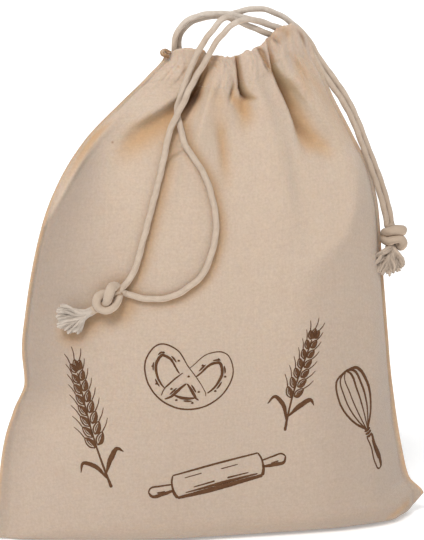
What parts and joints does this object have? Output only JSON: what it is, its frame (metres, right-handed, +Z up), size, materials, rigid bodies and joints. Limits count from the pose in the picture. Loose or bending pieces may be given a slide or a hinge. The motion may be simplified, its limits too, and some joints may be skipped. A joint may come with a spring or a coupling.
{
  "type": "drawstring bread bag",
  "caption": "Plain cotton drawstring bag for bread, standing filled on its base, its gathered casing drawn in by cords that end in knots with frayed tails.",
  "frame": {"origin": "on the surface that the bag stands on, under the middle of the cloth body, the cords left out", "axes": "+Z up from the base to the gathered top, -Y towards the front panel that faces the camera, +X to the right in the picture"},
  "size_m": [0.304, 0.1001, 0.3572],
  "materials": {
    "cloth": "plain-woven unbleached cotton, matt",
    "cord": "soft braided cotton cord, matt"
  },
  "bodies": {
    "root": {"front_panel": "cloth", "back_panel": "cloth", "cord_left_a": "cord", "cord_left_b": "cord", "cord_right_a": "cord", "cord_right_b": "cord", "knot_left": "cord", "knot_right": "cord"}
  },
  "joints": []
}
